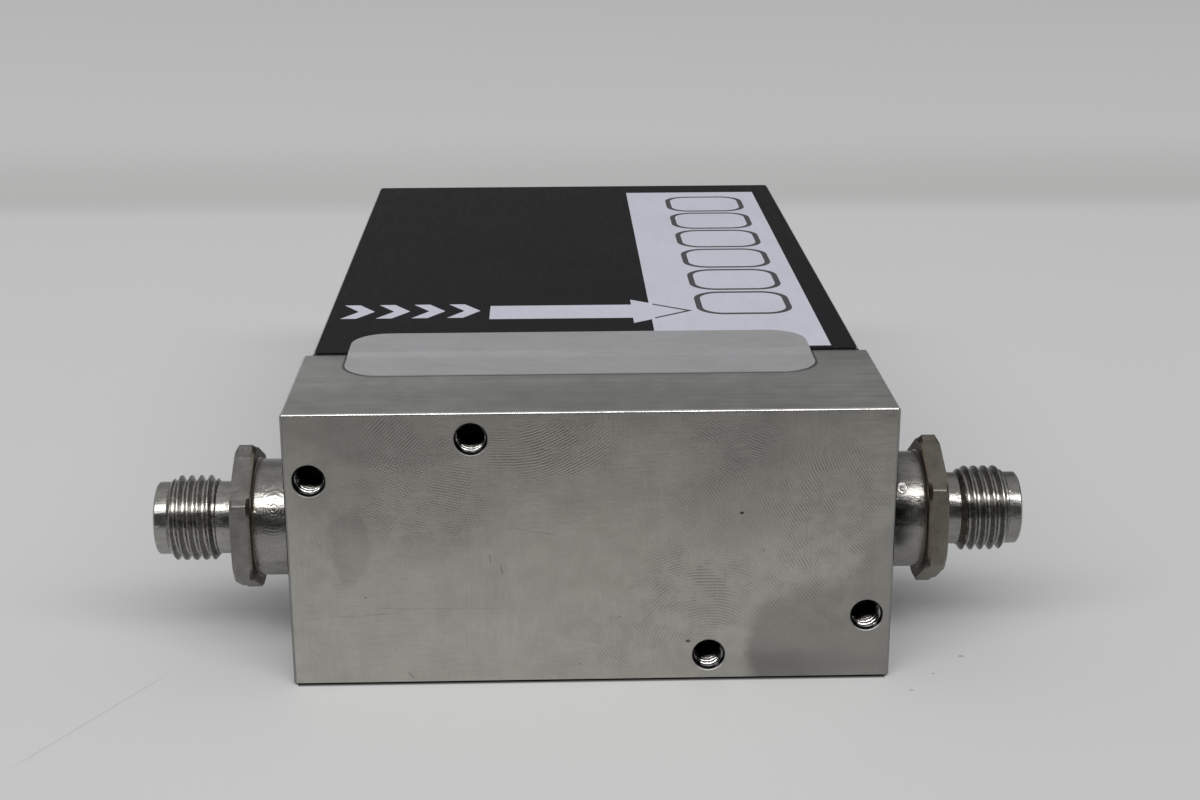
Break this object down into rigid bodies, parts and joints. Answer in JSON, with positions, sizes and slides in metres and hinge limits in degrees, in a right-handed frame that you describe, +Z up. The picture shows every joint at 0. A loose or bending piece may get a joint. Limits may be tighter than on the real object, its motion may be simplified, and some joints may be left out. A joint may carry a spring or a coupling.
{
  "type": "mass flow meter",
  "caption": "Thermal gas flow meter: stainless base block with tapped mounting face, compression tube fittings at both ends, thin electronics case with face label and a D-type connector.",
  "frame": {"origin": "middle of the base block's resting face, straight below the flow axis", "axes": "+X along the flow, from inlet to outlet; +Y from the tapped mounting face to the connector end; +Z up, out of the face label"},
  "size_m": [0.1124, 0.142, 0.0369],
  "materials": {
    "machined_steel": "milled stainless steel, edges broken",
    "fitting_steel": "turned stainless steel",
    "seal_rubber": "black fluoroelastomer",
    "mesh_steel": "fine mesh",
    "element_steel": "drilled and deburred",
    "spring_steel": "blackened spring steel",
    "capillary_steel": "drawn capillary",
    "winding_wire": "enamelled resistance wire",
    "cover_metal": "satin",
    "lead_wire": "insulated wire",
    "terminal_plastic": "moulded",
    "bracket_sheet": "folded sheet, satin",
    "screw_steel": "plated screws",
    "board_laminate": "solder mask over laminate",
    "chip_plastic": "moulded epoxy",
    "can_sleeve": "shrink sleeve",
    "film_box": "moulded box",
    "resistor_paint": "lacquer",
    "regulator_plastic": "moulded epoxy on a plated tab",
    "connector_plating": "tin plated shell",
    "insulator_plastic": "glass filled plastic",
    "pin_plating": "gold flashed",
    "jack_plating": "plated",
    "trimmer_plastic": "moulded",
    "rotor_metal": "turned",
    "case_metal": "satin sheet",
    "label_black": "printed overlay",
    "label_white": "printed overlay",
    "label_grey": "printed overlay",
    "seal_film": "silver film"
  },
  "bodies": {
    "meter": {"base_block": "machined_steel", "inlet_fitting": "fitting_steel", "outlet_fitting": "fitting_steel", "inlet_seal_ring": "seal_rubber", "outlet_seal_ring": "seal_rubber", "inlet_screen": "mesh_steel", "bypass_element": "element_steel", "element_retaining_ring": "spring_steel", "sensor_base": "machined_steel", "sensor_port_rings": "seal_rubber", "sensor_screws": "screw_steel", "sensor_tube": "capillary_steel", "upstream_winding": "winding_wire", "downstream_winding": "winding_wire", "sensor_cover": "cover_metal", "sensor_leads": "lead_wire", "sensor_header": "terminal_plastic", "board_bracket": "bracket_sheet", "bracket_screws": "screw_steel", "board_standoffs": "jack_plating", "main_board": "board_laminate", "board_screws": "screw_steel", "amplifier_chips": "chip_plastic", "electrolytic_capacitors": "can_sleeve", "film_capacitors": "film_box", "resistors": "resistor_paint", "voltage_regulator": "regulator_plastic", "connector_shell": "connector_plating", "connector_insulator": "insulator_plastic", "connector_pins": "pin_plating", "jack_posts": "jack_plating", "jack_nuts": "screw_steel", "zero_trimmer_body": "trimmer_plastic", "case": "case_metal", "case_screws": "screw_steel", "face_label": "label_black", "label_white_print": "label_white", "label_grey_print": "label_grey", "seal_sticker": "seal_film"},
    "zero_rotor": {"zero_adjust_rotor": "rotor_metal"}
  },
  "joints": [
    {"name": "zero_adjust_turn", "type": "hinge", "parent": "meter", "child": "zero_rotor", "pos_m": [0.02603, 0.12, 0.0162], "axis": [0, 1, 0], "range_deg": [-135, 135]}
  ]
}
